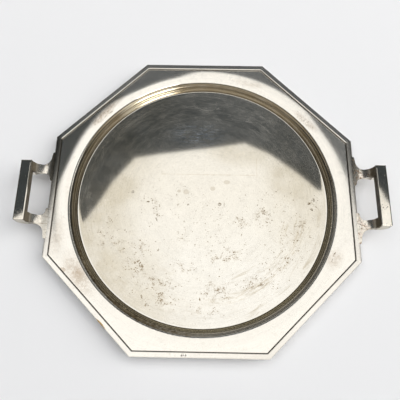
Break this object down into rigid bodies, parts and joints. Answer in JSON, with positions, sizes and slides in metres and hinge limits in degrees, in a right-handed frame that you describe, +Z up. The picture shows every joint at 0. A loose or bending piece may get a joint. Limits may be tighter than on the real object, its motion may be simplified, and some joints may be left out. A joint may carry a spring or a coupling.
{
  "type": "serving tray",
  "caption": "Octagonal silver-plated serving tray with a raised mitred border, a round moulded well and raised square-cut bar handles.",
  "frame": {"origin": "centre of the flat underside, on the surface the tray stands on", "axes": "+Z up, +X from the left handle to the right handle, +Y towards the back"},
  "size_m": [0.4478, 0.38, 0.0344],
  "materials": {
    "tray_plate": "worn bright silver plate, pitted and tarnished",
    "border_plate": "worn bright silver plate with tarnish in the quirk",
    "handle_plate": "worn silver plate with brown tarnish at the joints"
  },
  "bodies": {
    "root": {"tray_pan": "tray_plate", "border_right": "border_plate", "border_back_right": "border_plate", "border_back": "border_plate", "border_back_left": "border_plate", "border_left": "border_plate", "border_front_left": "border_plate", "border_front": "border_plate", "border_front_right": "border_plate", "arm_right_back": "handle_plate", "arm_right_front": "handle_plate", "arm_left_back": "handle_plate", "arm_left_front": "handle_plate", "grip_right": "handle_plate", "grip_left": "handle_plate"}
  },
  "joints": []
}
